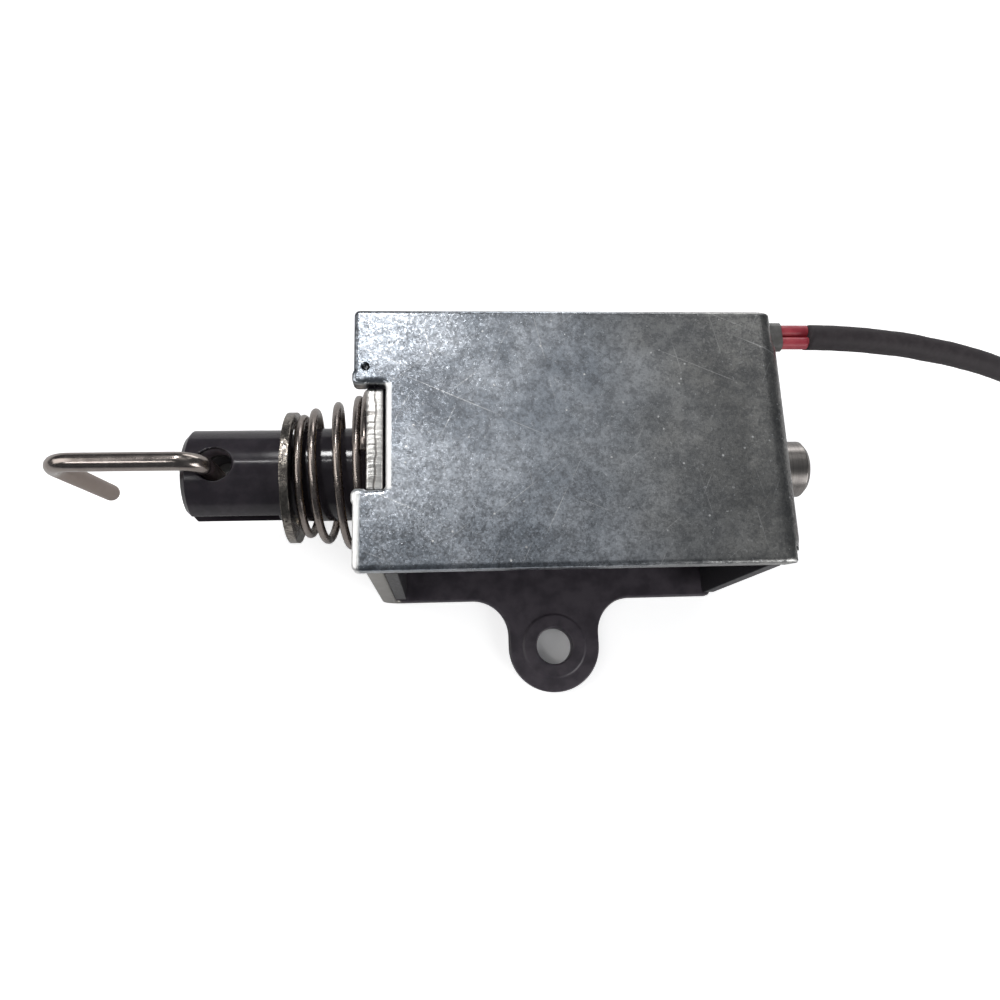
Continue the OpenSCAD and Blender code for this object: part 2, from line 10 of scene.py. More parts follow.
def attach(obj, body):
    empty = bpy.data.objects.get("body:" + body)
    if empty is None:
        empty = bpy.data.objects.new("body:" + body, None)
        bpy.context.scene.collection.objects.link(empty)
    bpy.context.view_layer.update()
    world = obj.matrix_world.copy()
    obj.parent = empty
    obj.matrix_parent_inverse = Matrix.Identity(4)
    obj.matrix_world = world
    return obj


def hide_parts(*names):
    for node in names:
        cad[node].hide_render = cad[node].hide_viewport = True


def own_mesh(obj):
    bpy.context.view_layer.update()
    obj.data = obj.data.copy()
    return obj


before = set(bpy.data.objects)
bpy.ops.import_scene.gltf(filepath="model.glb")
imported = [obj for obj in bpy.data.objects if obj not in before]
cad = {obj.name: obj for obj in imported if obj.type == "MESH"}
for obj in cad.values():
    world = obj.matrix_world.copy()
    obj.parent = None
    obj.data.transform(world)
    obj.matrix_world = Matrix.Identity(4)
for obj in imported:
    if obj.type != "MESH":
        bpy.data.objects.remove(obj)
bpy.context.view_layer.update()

# ---- Camera ----
# A short lens close above the part, leaning a little towards the screw ear.
MM = 0.001


def mm(*values):
    """Millimetres to metres, as a tuple."""
    return tuple(MM * v for v in values)


camera = bpy.data.objects.new("camera", bpy.data.cameras.new("camera"))
bpy.context.scene.collection.objects.link(camera)
camera.location = mm(-16.664, -30.246, 121.327)
camera.rotation_euler = (0.2452, -0.0712, -0.03256)
camera.data.sensor_width = 36
camera.data.lens = 28.758
camera.data.clip_start = 0.002
bpy.context.scene.camera = camera
bpy.context.scene.view_settings.view_transform = "Standard"


# ---- Floor, backdrop and lights ----
# A plain white sheet under the part keeps its soft shadow. The camera sees it glow, more with the distance
# and less under the screw hole, as painted shade, in a white room. The part sees a dim room and the lamps:
# a key behind and above it, broad weak panels, and narrow strips for the thin lines of light on round steel.
def add_mesh(name, points, faces, smooth=True):
    """A mesh object from an array of points in metres and a list of faces, left at the origin."""
    mesh = bpy.data.meshes.new(name)
    mesh.from_pydata([tuple(p) for p in points], [], [tuple(int(i) for i in f) for f in faces])
    mesh.validate()
    mesh.polygons.foreach_set("use_smooth", [smooth] * len(mesh.polygons))
    mesh.update()
    obj = bpy.data.objects.new(name, mesh)
    bpy.context.scene.collection.objects.link(obj)
    return obj


class Shader:
    """A material's node tree, with short calls that add a node and link its inputs.
    A plain number or colour goes on the socket; a socket is linked."""

    def __init__(self, name):
        self.material = bpy.data.materials.new(name)
        self.material.use_nodes = True
        self.tree = self.material.node_tree
        self.main = self.tree.nodes["Principled BSDF"]
        self.object_co = self.node("ShaderNodeTexCoord").outputs["Object"]
        self.shape = None

    def node(self, kind, inputs=None, **settings):
        """A new node of this kind with its settings and inputs."""
        made = self.tree.nodes.new(kind)
        for key, value in settings.items():
            setattr(made, key, value)
        for key, value in (inputs or {}).items():
            self.put(made.inputs[key], value)
        return made

    def put(self, socket, value):
        """Links a socket's output, or sets a number or colour; a colour of three parts is made opaque."""
        if isinstance(value, bpy.types.NodeSocket):
            self.tree.links.new(value, socket)
        elif isinstance(value, tuple) and len(value) == 3 and len(socket.default_value) == 4:
            socket.default_value = (*value, 1)
        else:
            socket.default_value = value

    def set(self, **inputs):
        """Puts values on the main node's sockets, with _ for the spaces in their names."""
        for key, value in inputs.items():
            self.put(self.main.inputs[key.replace("_", " ")], value)
        return self

    def math(self, operation, a, b=0.0):
        """One step of arithmetic on the numbers a and b."""
        return self.node("ShaderNodeMath", {0: a, 1: b}, operation=operation).outputs[0]

    def plus(self, a, b):
        """a and b added."""
        return self.math("ADD", a, b)

    def minus(self, a, b):
        """b taken from a."""
        return self.math("SUBTRACT", a, b)

    def times(self, a, b):
        """a multiplied by b."""
        return self.math("MULTIPLY", a, b)

    def larger(self, a, b):
        """The larger of a and b."""
        return self.math("MAXIMUM", a, b)

    def vector_math(self, operation, a, b=(0, 0, 0)):
        """One step of arithmetic on the vectors a and b, as a node with the outputs Vector and Value."""
        return self.node("ShaderNodeVectorMath", {0: a, 1: b}, operation=operation)

    def distance(self, place, along=(1, 1, 1)):
        """Distance in metres from place, in mm, on the axes that are 1 in along. place is 0 on the others."""
        kept = self.vector_math("MULTIPLY", self.object_co, along).outputs["Vector"]
        return self.vector_math("DISTANCE", kept, mm(*place)).outputs["Value"]

    def stretched(self, scale, degrees=0.0):
        """Object coordinates turned about Z and then times scale, in 1/m, so that textures run finer
        one way."""
        turned = self.node("ShaderNodeMapping", {"Vector": self.object_co,
                                                 "Rotation": (0, 0, math.radians(degrees))}).outputs[0]
        return self.node("ShaderNodeMapping", {"Vector": turned, "Scale": scale}).outputs[0]

    def noise(self, scale, detail=3.0, rough=0.5, vector=None):
        """Smooth random pattern from 0 to 1, scale cells to the metre."""
        return self.node("ShaderNodeTexNoise", {"Vector": vector or self.object_co, "Scale": scale,
                                                "Detail": detail, "Roughness": rough}).outputs["Fac"]

    def range(self, value, low, high, to_low=0.0, to_high=1.0):
        """value from low..high to to_low..to_high, clamped, with soft ends."""
        return self.node("ShaderNodeMapRange", {"Value": value, "From Min": low, "From Max": high,
                                                "To Min": to_low, "To Max": to_high},
                         interpolation_type="SMOOTHSTEP").outputs[0]

    def mix(self, factor, a, b):
        """Colour a where factor is 0, colour b where it is 1, and their blend between."""
        made = self.node("ShaderNodeMix", data_type="RGBA")
        self.put(made.inputs[0], factor)
        self.put(made.inputs[6], a)
        self.put(made.inputs[7], b)
        return made.outputs[2]

    def axis(self, letter, source=None):
        """One part of the object coordinates, or of source: X, Y or Z."""
        return self.node("ShaderNodeSeparateXYZ", {"Vector": source or self.object_co}).outputs[letter]

    def cells(self, scale):
        """Random cells of 1/scale metres: their colour and the distance to their middle."""
        made = self.node("ShaderNodeTexVoronoi", {"Vector": self.object_co, "Scale": scale})
        return made.outputs["Color"], made.outputs["Distance"]

    def round_edges(self, width):
        """Shades edges as if rounded by width in mm. It acts on the bumps that follow."""
        self.shape = self.node("ShaderNodeBevel", {"Radius": width * MM}, samples=6).outputs[0]
        self.put(self.main.inputs["Normal"], self.shape)
        return self

    def facets(self, colour, amount):
        """Tilts the normal by each cell's random colour, up to amount / 2 along each axis."""
        off = self.vector_math("SUBTRACT", colour, (0.5, 0.5, 0.5)).outputs["Vector"]
        off = self.vector_math("MULTIPLY", off, (amount, amount, amount)).outputs["Vector"]
        base = self.shape or self.node("ShaderNodeTexCoord").outputs["Normal"]
        tilted = self.vector_math("ADD", base, off).outputs["Vector"]
        self.shape = self.vector_math("NORMALIZE", tilted).outputs["Vector"]
        self.put(self.main.inputs["Normal"], self.shape)
        return self

    def bump(self, height, strength, distance):
        """Dents and grains from the pattern height, distance metres high where it is 1, times strength."""
        made = self.node("ShaderNodeBump", {"Height": height, "Strength": strength, "Distance": distance})
        if self.shape:
            self.put(made.inputs["Normal"], self.shape)
        self.put(self.main.inputs["Normal"], made.outputs[0])
        return self


def paint(obj, shader):
    """Puts the shader's material in the object's first slot."""
    if not obj.material_slots:
        obj.data.materials.append(shader.material)
    obj.material_slots[0].material = shader.material


# The sheet's half width in m and its height in mm; the painted shade disc's radius in mm and its depth; and
# the distances in m between which the glow rises, with its strength at both.
FLOOR_HALF, FLOOR_Z = 1.5, -0.05
EAR_X, EAR_Y = 0.2, -23.0
SHADE_R, SHADE = 3.2, 0.60
GLOW_FROM, GLOW_TO, GLOW_NEAR, GLOW_FAR = 0.16, 0.50, 0.68, 1.0
floor = add_mesh("floor", [(x * FLOOR_HALF, y * FLOOR_HALF, FLOOR_Z * MM)
                           for x, y in ((-1, -1), (1, -1), (1, 1), (-1, 1))], [(0, 1, 2, 3)], False)
sheet = Shader("floor_sheet").set(Base_Color=(0.86, 0.86, 0.86), Roughness=0.9)
# Painted shade: under the screw hole the sheet glows less, greying the floor seen through the hole.
painted_shade_under_hole = sheet.math("LESS_THAN", sheet.distance((EAR_X, EAR_Y, FLOOR_Z)), SHADE_R * MM)
glow = sheet.range(sheet.distance((0, 0, 0)), GLOW_FROM, GLOW_TO, GLOW_NEAR, GLOW_FAR)
glow = sheet.minus(glow, sheet.times(painted_shade_under_hole, SHADE))
camera_ray = sheet.node("ShaderNodeLightPath").outputs["Is Camera Ray"]
sheet.set(Emission_Color=(1.0, 1.0, 1.0), Emission_Strength=sheet.times(camera_ray, glow))
paint(floor, sheet)

# The room is white to the camera's own rays and dim to all others.
world = bpy.data.worlds.new("studio")
bpy.context.scene.world = world
world.use_nodes = True
sky = world.node_tree
sky_ray = sky.nodes.new("ShaderNodeLightPath")
sky_mix = sky.nodes.new("ShaderNodeMix")
sky_mix.data_type = "RGBA"
sky_mix.inputs[6].default_value = (0.10, 0.105, 0.112, 1)
sky_mix.inputs[7].default_value = (1, 1, 1, 1)
sky.links.new(sky_ray.outputs["Is Camera Ray"], sky_mix.inputs[0])
sky.links.new(sky_mix.outputs[2], sky.nodes["Background"].inputs["Color"])


def soft_light(name, towards, distance, size, watts, colour=(1, 1, 1), aim=(0, 0, 16)):
    """A rectangular lamp of size (m) that faces aim (mm) from distance (m) along the direction towards. Its
    first side follows the part's length: it is the X axis less its share along that direction."""
    data = bpy.data.lights.new(name, "AREA")
    data.shape = "RECTANGLE"
    data.size, data.size_y = size
    data.energy = watts
    data.color = colour
    light = bpy.data.objects.new(name, data)
    bpy.context.scene.collection.objects.link(light)
    way = np.array(towards, float)
    way /= np.linalg.norm(way)
    light.location = way * distance + np.array(mm(*aim))
    level = np.array([1.0, 0, 0]) - way * way[0]
    level /= np.linalg.norm(level)
    light.rotation_euler = Matrix((level, np.cross(way, level), way)).transposed().to_euler()


soft_light("key", (-0.235, 0.75, 1.0), 0.54, (0.035, 0.09), 0.62)
soft_light("overhead_panel", (0.02, 0.33, 1.0), 0.60, (0.34, 0.13), 0.055, (0.97, 0.985, 1.0))
soft_light("overhead_sheet", (0.15, 0.30, 1.0), 0.62, (0.52, 0.44), 0.13)
soft_light("plunger_strip", (-0.19, 0.36, 1.0), 0.48, (0.08, 0.012), 0.10, aim=(-42, 0, 20))
soft_light("hook_strip", (-0.45, -0.36, 1.0), 0.50, (0.10, 0.06), 0.17, aim=(-55, 0, 23))
soft_light("tip_strip", (0.58, 0.86, 1.0), 0.50, (0.04, 0.18), 0.05, aim=(33, 0, 18))
soft_light("left_panel", (-1.0, 0.12, 0.80), 0.42, (0.30, 0.26), 0.55, (1.0, 0.98, 0.96))
soft_light("back_panel", (0.35, 1.0, 0.25), 0.50, (0.35, 0.14), 0.55)
soft_light("front_panel", (1.1, -0.9, 0.5), 0.50, (0.28, 0.24), 1.1)


# ---- Sleeve over the leads ----
# Soft black insulating sleeve, pushed over the pair of leads and cut a little slanting. It hangs from the
# frame to the table and lies there in one turn.
def smooth_path(points, per_span):
    """Catmull-Rom curve through the points: each span is the cubic that leaves and reaches its ends with
    half the difference of their neighbours as speed."""
    p = np.asarray(points, float)
    p = np.vstack([2 * p[0] - p[1], p, 2 * p[-1] - p[-2]])
    t = np.linspace(0, 1, per_span, endpoint=False)[:, None]
    out = []
    for a, b, c, d in zip(p[:-3], p[1:-2], p[2:-1], p[3:]):
        out.append(0.5 * (2 * b + (c - a) * t + (2 * a - 5 * b + 4 * c - d) * t ** 2
                          + (3 * b - a - 3 * c + d) * t ** 3))
    return np.vstack(out + [p[-2:-1]])


def frames(path):
    """Tangent and two normals at each point of a path; each normal is the one before it, turned as
    little as the path's bend allows."""
    path = np.asarray(path, float)
    tangent = np.gradient(path, axis=0)
    tangent /= np.linalg.norm(tangent, axis=1)[:, None]
    side = np.zeros_like(path)
    first = np.array([0.0, 0.0, 1.0]) if abs(tangent[0][2]) < 0.9 else np.array([0.0, 1.0, 0.0])
    side[0] = first - tangent[0] * (first @ tangent[0])
    side[0] /= np.linalg.norm(side[0])
    for i in range(1, len(path)):
        v = side[i - 1] - tangent[i] * (side[i - 1] @ tangent[i])
        side[i] = v / np.linalg.norm(v)
    return tangent, side, np.cross(tangent, side)


def tube(name, path, radius, sides, relief=None, start_slant=0.0):
    """A closed tube: ring i lies across path[i], point k of it at angle 2 pi k / sides and at radius
    plus relief(i, angle). start_slant moves the first ring's points along the path, as a slanted cut."""
    path = np.asarray(path, float)
    tangent, side, across = frames(path)
    angles = np.linspace(0, 2 * math.pi, sides, endpoint=False)
    n = len(path)
    r = np.broadcast_to(np.asarray(radius, float), (n,))[:, None] * np.ones((1, sides))
    if relief is not None:
        r = r + relief(np.arange(n)[:, None], angles[None, :])
    points = (path[:, None, :] + r[:, :, None] * (side[:, None, :] * np.cos(angles)[None, :, None]
                                                  + across[:, None, :] * np.sin(angles)[None, :, None]))
    points[0] += tangent[0] * (start_slant * np.sin(angles))[:, None]
    points = points.reshape(-1, 3)
    caps = np.array([path[0], path[-1]])
    points = np.vstack([points, caps])
    i, k = np.meshgrid(np.arange(n - 1), np.arange(sides), indexing="ij")
    j = (k + 1) % sides
    quads = np.stack([i * sides + k, i * sides + j, (i + 1) * sides + j, (i + 1) * sides + k], -1)
    faces = [tuple(q) for q in quads.reshape(-1, 4)]
    last = (n - 1) * sides
    faces += [(n * sides, (m + 1) % sides, m) for m in range(sides)]
    faces += [(n * sides + 1, last + m, last + (m + 1) % sides) for m in range(sides)]
    return add_mesh(name, points, faces)


SLEEVE_D, SLEEVE_SHRINK, SLEEVE_REST = 3.5, 0.11, 1.8
HANG = [(31.5, 14.1, 28.4), (35, 14.1, 28.2), (38.5, 14.1, 27.8), (42, 14.1, 27.1), (46, 14.1, 26.2),
        (50, 14, 25), (54, 14, 23.6), (58, 14, 21.9), (62, 14, 20), (66, 14.1, 17.7), (70, 14.2, 15.1),
        (74, 14.4, 12.3), (78, 14.7, 9.4), (82, 15.1, 6.7), (86, 15.5, 4.4), (90, 15.8, 2.8), (94, 16, 2),
        (98, 16, SLEEVE_REST)]
TURN_MID, TURN_R, TURN_CLOSING, TURN_SWEEP, TURN_STEPS = (98, -4), 20, 4.6, 330, 16
turn = []
for step in range(1, TURN_STEPS + 1):
    degrees = TURN_SWEEP * step / TURN_STEPS
    r = TURN_R - TURN_CLOSING * degrees / 360
    turn.append((TURN_MID[0] + r * math.sin(math.radians(degrees)),
                 TURN_MID[1] + r * math.cos(math.radians(degrees)), SLEEVE_REST))
sleeve_path = smooth_path(MM * np.array(HANG + turn), 10)


def sleeve_relief(i, angle):
    """Faint slanting waves: the mean of two sines of the ring's number and the angle, less a little."""
    wave = 0.5 * np.sin(i * 0.37 + 2 * np.sin(angle)) + 0.5 * np.sin(i * 0.91 - 3 * np.cos(angle))
    return MM * (0.018 * wave - 0.02)


# The rounded path swings a little wide of the cord's straight spans, so its tube is thinner by the shrink.
sleeve = tube("sleeve", sleeve_path, MM * (SLEEVE_D / 2 - SLEEVE_SHRINK), 28, sleeve_relief,
              start_slant=-0.2 * MM)
black = Shader("sleeve_black")
mottle = black.noise(900, 4, 0.6)
black.set(Base_Color=black.mix(black.range(mottle, 0.35, 0.7), (0.040, 0.034, 0.037), (0.056, 0.048, 0.052)),
          Roughness=black.range(mottle, 0.3, 0.7, 0.55, 0.70), Specular_IOR_Level=0.2)
black.bump(black.noise(2600, 3, 0.6), 0.25, 0.05 * MM)
paint(sleeve, black)
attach(sleeve, "body")
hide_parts("lead_sleeve")

# ---- Red leads and their tails ----
# Two stranded leads in glossy red insulation. They leave the frame through the spout, pass the sleeve and
# come out again just before the connector.
red = Shader("red_insulation")
shade = red.noise(500, 3, 0.55)
red.set(Base_Color=red.mix(red.range(shade, 0.35, 0.7), (0.36, 0.035, 0.055), (0.48, 0.07, 0.09)),
        Roughness=red.range(red.noise(1500), 0.3, 0.7, 0.3, 0.45))
red.bump(red.noise(1800, 3), 0.2, 0.03 * MM)
paint(cad["lead_wires"], red)

LEAD_PITCH, LEAD_D, CAVITY_PITCH = 1.64, 1.6, 2.74
end_way = sleeve_path[-1] - sleeve_path[-2]
end_way /= np.linalg.norm(end_way)
TAIL_GAP, TAIL_STRAIGHT = 0.05, 1.5
tail_route = np.array([sleeve_path[-1] + MM * out * end_way for out in (TAIL_GAP, TAIL_STRAIGHT)]
                      + [mm(*q) for q in ((94, 11.1, 1.5), (98, 10.7, 1.2), (101.5, 8.9, 1.2),
                                          (104, 5.9, 1.7), (105, 2.8, 2.4), (105, 0.5, 2.6))])
for side in (-1, 1):
    route = []
    for k, place in enumerate(tail_route):
        ahead = tail_route[min(k + 1, len(tail_route) - 1)] - tail_route[max(k - 1, 0)]
        sideways = np.cross(ahead, (0, 0, 1))
        spread = CAVITY_PITCH if k == len(tail_route) - 1 else LEAD_PITCH
        route.append(place + side * MM * spread / 2 * sideways / np.linalg.norm(sideways))
    tail = tube(f"lead_tail_{'left' if side < 0 else 'right'}", smooth_path(route, 10), MM * LEAD_D / 2, 20)
    paint(tail, red)
    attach(tail, "body")
    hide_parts("lead_tails")

# ---- Upper yoke ----
# Zinc-plated steel strip, blanked and bent once down into the rear wall. The punch rolled its outer edges
# over, the plating is mottled and finely specked, and handling has left fine scratches.
def outline(corners, arc_step=0.2):
    """A closed outline through corners (s, y, radius) in mm, with the sheet on its left, as a function of
    inset. Each corner is the arc that touches both of its sides; moved inwards by d, an outer corner's arc
    has radius r - d until it is a sharp point on the bisector, and an inner corner's arc has r + d."""
    places, centres, points, spread = [], [], [], []
    n = len(corners)
    for i in range(n):
        before, here, after = (np.array(corners[j % n][:2], float) for j in (i - 1, i, i + 1))
        radius = corners[i][2]
        u, v = before - here, after - here
        u, v = u / np.linalg.norm(u), v / np.linalg.norm(v)
        half = math.acos(max(-1.0, min(1.0, float(u @ v)))) / 2
        outer = 1 if u[1] * v[0] - u[0] * v[1] > 0 else -1
        inward = (u + v) / np.linalg.norm(u + v)
        middle = here + inward * radius / math.sin(half)
        start, end = here + u * radius / math.tan(half) - middle, here + v * radius / math.tan(half) - middle
        a0, a1 = math.atan2(start[1], start[0]), math.atan2(end[1], end[0])
        sweep = (a1 - a0 + math.pi) % (2 * math.pi) - math.pi
        steps = max(3, int(abs(sweep) * radius / arc_step) + 1)
        for a in np.linspace(a0, a0 + sweep, steps + 1):
            places.append((math.cos(a), math.sin(a)))
            centres.append(middle)
            points.append(here)
            spread.append((radius, outer, *(inward / math.sin(half))))
    places, centres, points, spread = (np.array(q) for q in (places, centres, points, spread))
    radius, outer, way = spread[:, :1], spread[:, 1:2], spread[:, 2:]

    def at(inset):
        left = radius - outer * inset
        return np.where(left >= 0, centres + places * left, points + way * outer * inset)
    return at


def round_hole(s, y, radius, count=64):
    """A clockwise circle, so that the sheet lies to its left, as a function of inset."""
    a = -np.linspace(0, 2 * math.pi, count, endpoint=False)
    return lambda inset: np.stack([s + (radius + inset) * np.cos(a), y + (radius + inset) * np.sin(a)], 1)


def rim(thickness, low, roll, fall, steps=6):
    """Edge of a blanked sheet as (inset, height) pairs: up from the lower face round a quarter circle of
    radius low, up the cut face, and over a quarter ellipse, roll wide and fall high, to the upper face."""
    margin = 0.05
    quarter = np.linspace(0, math.pi / 2, steps)
    return ([(low + margin, 0)] + [(low * (1 - math.sin(a)), low * (1 - math.cos(a))) for a in quarter]
            + [(roll * (1 - math.cos(a)), thickness - fall * (1 - math.sin(a))) for a in quarter]
            + [(roll + margin, thickness)])


def inside(places, loops):
    """True where a place lies within the outer loop and in no hole: a ray from it crosses the loops' sides
    an odd number of times."""
    crossings = np.zeros(len(places), int)
    for loop in loops:
        a, b = loop, np.roll(loop, -1, 0)
        y = places[:, 1:2]
        spans = (a[:, 1] > y) != (b[:, 1] > y)
        with np.errstate(divide="ignore", invalid="ignore"):
            reach = a[:, 0] + (y - a[:, 1]) / (b[:, 1] - a[:, 1]) * (b[:, 0] - a[:, 0])
        crossings += (spans & (places[:, :1] < reach)).sum(1)
    return crossings % 2 == 1


def fill_face(loops, step=1.5, clear=0.5):
    """Even triangles between the loops: a grid of points that keep clear of the sides is joined to them.
    Gives the places, the loops' points first, and the triangles."""
    rim_points = np.vstack(loops)
    edges, base = [], 0
    for loop in loops:
        edges += [(base + k, base + (k + 1) % len(loop)) for k in range(len(loop))
                  if np.linalg.norm(loop[k] - loop[(k + 1) % len(loop)]) > 1e-6]
        base += len(loop)
    low, high = rim_points.min(0), rim_points.max(0)
    grid = np.stack(np.meshgrid(*[np.arange(low[i] + step / 2, high[i], step) for i in (0, 1)]), -1)
    grid = grid.reshape(-1, 2)
    grid = grid[inside(grid, loops)]
    a, b = (rim_points[[e[i] for e in edges]] for i in (0, 1))
    along = b - a
    t = ((grid[:, None] - a) * along).sum(2) / (along ** 2).sum(1)
    gap = np.linalg.norm(grid[:, None] - a - np.clip(t, 0, 1)[:, :, None] * along, axis=2).min(1)
    grid = grid[gap > clear]
    made = delaunay_2d_cdt([Vector(q) for q in np.vstack([rim_points, grid])], edges, [], 0, 1e-7)
    places, triangles = np.array([tuple(q) for q in made[0]]), np.array(made[2])
    return places, triangles[inside(places[triangles].mean(1), loops)]


def sheet_part(name, loops, folds, bend, pits=()):
    """A bent sheet in mm. loops are (outline, rim) pairs in the flat pattern; their rims' rings are joined
    in strips, and the first and last rings are filled as the two faces. pits are (centre, rings), dents in
    the upper face as (radius, height) pairs. folds are the lines s at which the faces are split, and bend
    maps (s, y, height) to (x, y, z)."""
    points, faces, ends = [], [], ([], [])

    def strips(rings):
        """Adds the rings' points and joins each ring to the next one with a strip of four-sided faces."""
        base, count = sum(map(len, points)), len(rings[0])
        points.extend(rings)
        for row in range(len(rings) - 1):
            for k in range(count):
                a, b = base + row * count + k, base + row * count + (k + 1) % count
                faces.append((a, b, b + count, a + count))

    for loop, profile in loops:
        strips([np.column_stack([loop(inward), np.full(len(loop(0)), height)]) for inward, height in profile])
        ends[0].append(loop(profile[0][0]))
        ends[1].append(loop(profile[-1][0]))
    for (s, y), rings in pits:
        dent = round_hole(s, y, 0, 24)
        strips([np.column_stack([dent(radius), np.full(24, height)]) for radius, height in rings])
        faces.append(tuple(sum(map(len, points)) - 1 - k for k in range(24)))
        ends[1].append(dent(rings[0][0]))
    thickness = loops[0][1][-1][1]
    for side, height in zip(ends, (0, thickness)):
        places, triangles = fill_face(side)
        base = sum(map(len, points))
        points.append(np.column_stack([places, np.full(len(places), height)]))
        faces += [tuple(int(base + i) for i in t) for t in triangles]
    body = bmesh.new()
    made = [body.verts.new(q) for q in np.vstack(points)]
    for face in faces:
        body.faces.new([made[i] for i in face])
    bmesh.ops.remove_doubles(body, verts=body.verts[:], dist=1e-4)
    for s in folds:
        bmesh.ops.bisect_plane(body, geom=body.verts[:] + body.edges[:] + body.faces[:], dist=1e-5,
                               plane_co=(s, 0, 0), plane_no=(1, 0, 0))
    for vert in body.verts:
        vert.co = Vector([MM * c for c in bend(*vert.co)])
    bmesh.ops.recalc_face_normals(body, faces=body.faces[:])
    mesh = bpy.data.meshes.new(name)
    body.to_mesh(mesh)
    body.free()
    mesh.polygons.foreach_set("use_smooth", [True] * len(mesh.polygons))
    obj = bpy.data.objects.new(name, mesh)
    bpy.context.scene.collection.objects.link(obj)
    return obj


SHEET = 2.0
BEND_R = 2.8
BEND_L = (BEND_R - SHEET / 2) * math.pi / 2
AXIS_Z = 15.2
YOKE_EDGE, YOKE_REAR, YOKE_TOP = -26.5, 26.5, 32.0
YOKE_FOLD = YOKE_REAR - BEND_R - YOKE_EDGE
WALL_FROM = YOKE_FOLD + BEND_L
YOKE_END = WALL_FROM + YOKE_TOP - BEND_R


def bend_yoke(s, y, h):
    """Flat, then a quarter turn about the bend's middle, then straight down."""
    if s <= YOKE_FOLD:
        return YOKE_EDGE + s, y, YOKE_TOP - SHEET + h
    if s < WALL_FROM:
        turned = (s - YOKE_FOLD) / BEND_L * math.pi / 2
        r = BEND_R - SHEET + h
        return (YOKE_REAR - BEND_R + r * math.sin(turned), y, YOKE_TOP - BEND_R + r * math.cos(turned))
    return YOKE_REAR - SHEET + h, y, YOKE_TOP - BEND_R - (s - WALL_FROM)


# The flat pattern's corners are (s, y, radius). The rear wall is narrower than the top, with a corner cut
# out for the leads and a gap at its foot for the base's tab. The top's front edge is notched for the front
# wall's tab, and the punch pit is at (PIT_S, PIT_Y).
NARROW = YOKE_FOLD + 1.45
SHEET_HALF, WALL_HALF, RELIEF_Y, LEAD_Y, LEAD_CUT = 16, 14.4, 13.6, 12.08, WALL_FROM + 2
GAP_HALF, GAP_END = 6.6, YOKE_END - 2.25
NOTCH_HALF, NOTCH_DEPTH, LIP_HALF, LIP_OUT = 6.6, 3.8, 6.4, 0.2
POLE_HOLE_R = 4.55
PIT_S, PIT_Y = 1.4, 8.6
yoke_outline = outline([
    (0, -SHEET_HALF, 0.7), (NARROW, -SHEET_HALF, 0.4), (NARROW, -RELIEF_Y, 0.2),
    (NARROW + 0.7, -RELIEF_Y, 0.2), (NARROW + 0.7, -WALL_HALF, 0.2), (YOKE_END, -WALL_HALF, 0.4),
    (YOKE_END, -GAP_HALF, 0.2), (GAP_END, -GAP_HALF, 0.3), (GAP_END, GAP_HALF, 0.3),
    (YOKE_END, GAP_HALF, 0.2), (YOKE_END, WALL_HALF, 0.4), (LEAD_CUT, WALL_HALF, 0.3),
    (LEAD_CUT, LEAD_Y, 0.3), (NARROW, LEAD_Y, 0.3), (NARROW, SHEET_HALF, 0.4), (0, SHEET_HALF, 0.7),
    (0, 8.2, 0.5), (-LIP_OUT, 7.8, 0.4), (-LIP_OUT, LIP_HALF, 0.7), (1.3, LIP_HALF, 0.3),
    (1.6, NOTCH_HALF, 0.3), (NOTCH_DEPTH, NOTCH_HALF, 0.6), (NOTCH_DEPTH, -NOTCH_HALF, 0.6),
    (1.6, -NOTCH_HALF, 0.3), (1.3, -LIP_HALF, 0.3), (-LIP_OUT, -LIP_HALF, 0.7), (-LIP_OUT, -7.8, 0.4),
    (0, -8.2, 0.5)])
pole_hole = round_hole(WALL_FROM + YOKE_TOP - BEND_R - AXIS_Z, 0, POLE_HOLE_R)
punch_rings = [(0.60, SHEET), (0.54, SHEET), (0.47, SHEET - 0.09), (0.36, SHEET - 0.42), (0.18, SHEET - 0.50)]
yoke = sheet_part("yoke_sheet", [(yoke_outline, rim(SHEET, 0.15, 0.68, 0.40, 8)),
                                 (pole_hole, rim(SHEET, 0.1, 0.15, 0.15, 3))],
                  [YOKE_FOLD + BEND_L * k / 10 for k in range(11)], bend_yoke,
                  [((PIT_S, PIT_Y), punch_rings)])
zinc = Shader("zinc_plating")
x, y = zinc.axis("X"), zinc.axis("Y")
# Cloudy ground, bluish at the front and greenish at the rear, with a ragged change from one to the other.
# Painted shade: the rear is darker, greyer and less contrasty, standing in for the dark surroundings mirrored
# on that side.
ragged = zinc.times(zinc.minus(zinc.noise(60, 3, 0.6), 0.5), 30 * MM)
rear = zinc.range(zinc.plus(x, ragged), -8 * MM, 20 * MM)
cloud = zinc.noise(95, 5, 0.62)
bluish = zinc.mix(zinc.range(cloud, 0.36, 0.64), (0.355, 0.39, 0.435), (0.53, 0.565, 0.615))
greenish = zinc.mix(zinc.range(cloud, 0.36, 0.64), (0.285, 0.284, 0.277), (0.415, 0.411, 0.395))
# Dark grain over it: fine and coarse mottle, and the crystals' own shades.
grain, _ = zinc.cells(4600.0)
fine = zinc.times(zinc.range(zinc.noise(2300, 4, 0.75), 0.30, 0.70), 0.42)
coarse = zinc.times(zinc.range(zinc.noise(620, 6, 0.74), 0.34, 0.66), 0.34)
tone = zinc.plus(fine, zinc.plus(coarse, zinc.times(zinc.axis("X", grain), 0.24)))
contrast = zinc.minus(0.62, zinc.times(rear, 0.06))
plate_colour = zinc.mix(zinc.times(zinc.range(tone, 0.22, 0.72, 1.0, 0.0), contrast),
                        zinc.mix(rear, bluish, greenish), (0.12, 0.124, 0.132))
